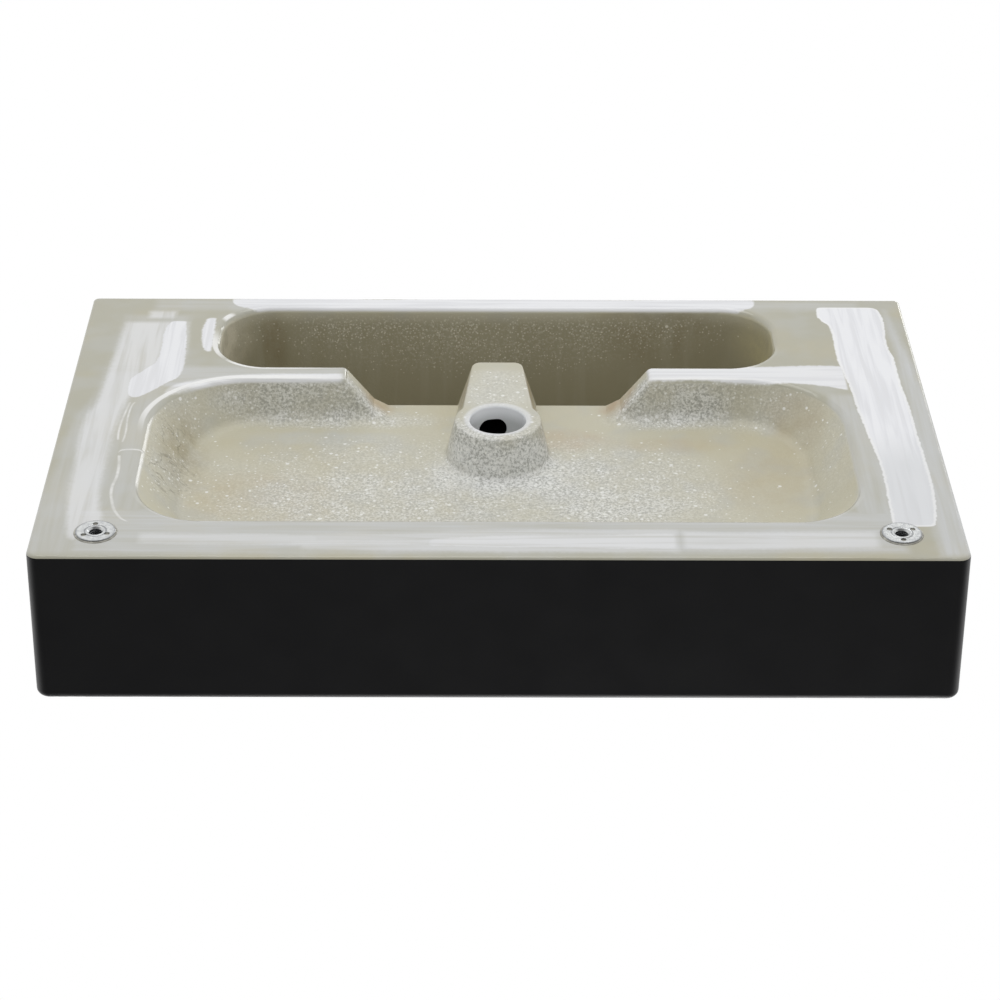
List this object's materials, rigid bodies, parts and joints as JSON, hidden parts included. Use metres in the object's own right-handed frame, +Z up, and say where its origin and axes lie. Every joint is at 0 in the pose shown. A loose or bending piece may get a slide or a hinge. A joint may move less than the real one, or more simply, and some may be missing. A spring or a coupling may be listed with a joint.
{
  "type": "console sink",
  "caption": "Rectangular console sink ware: a shallow bowl with overflow and tap deck over open pockets and hollow rails, with threaded leg inserts at the front corners.",
  "frame": {"origin": "Middle of the plan, on the plane where the front legs seat, which is the lower face of the insert flanges", "axes": "+Z up with the bowl open upwards, +Y towards the wall, +X to the right of a person standing at the front"},
  "size_m": [0.7498, 0.4599, 0.1365],
  "materials": {
    "fired_ceramic": "satin",
    "black_glaze": "satin",
    "zinc_steel": "gloss",
    "bonding_resin": "satin"
  },
  "bodies": {
    "root": {"basin_body": "fired_ceramic", "black_glaze": "black_glaze", "leg_insert_left": "zinc_steel", "leg_insert_right": "zinc_steel", "insert_resin_left": "bonding_resin", "insert_resin_right": "bonding_resin"}
  },
  "joints": []
}
